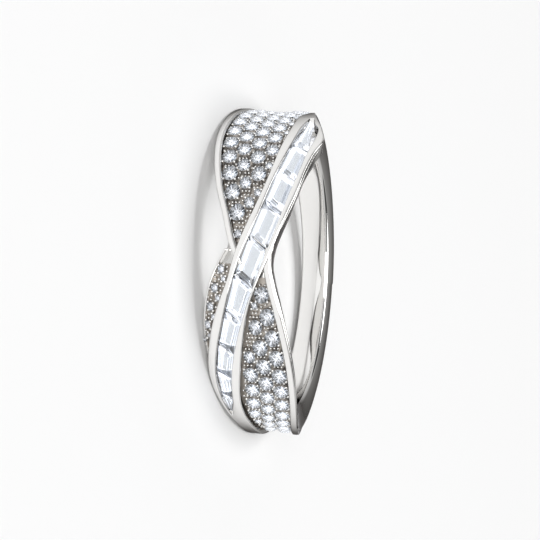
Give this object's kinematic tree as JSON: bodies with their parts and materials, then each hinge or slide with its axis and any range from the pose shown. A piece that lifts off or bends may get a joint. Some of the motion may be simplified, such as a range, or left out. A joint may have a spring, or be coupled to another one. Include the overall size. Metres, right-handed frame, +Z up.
{
  "type": "crossover ring",
  "caption": "Crossover finger ring: a slanting channel of step-cut stones over a band set with small round stones, with polished rails and a plain back.",
  "frame": {"origin": "centre of the bounding box at its bottom, on the surface the ring lies on", "axes": "+Z up from the surface, close to the finger axis; -Y towards the crossing"},
  "size_m": [0.0208, 0.0202, 0.007],
  "materials": {
    "white_gold": "polished, rhodium plated",
    "round_stones": "faceted",
    "baguettes": "step cut"
  },
  "bodies": {
    "root": {"band": "white_gold", "upper_pave": "round_stones", "lower_pave": "round_stones", "side_pave": "round_stones", "baguette_01": "baguettes", "baguette_02": "baguettes", "baguette_03": "baguettes", "baguette_04": "baguettes", "baguette_05": "baguettes", "baguette_06": "baguettes", "baguette_07": "baguettes", "baguette_08": "baguettes", "baguette_09": "baguettes", "baguette_10": "baguettes"}
  },
  "joints": []
}
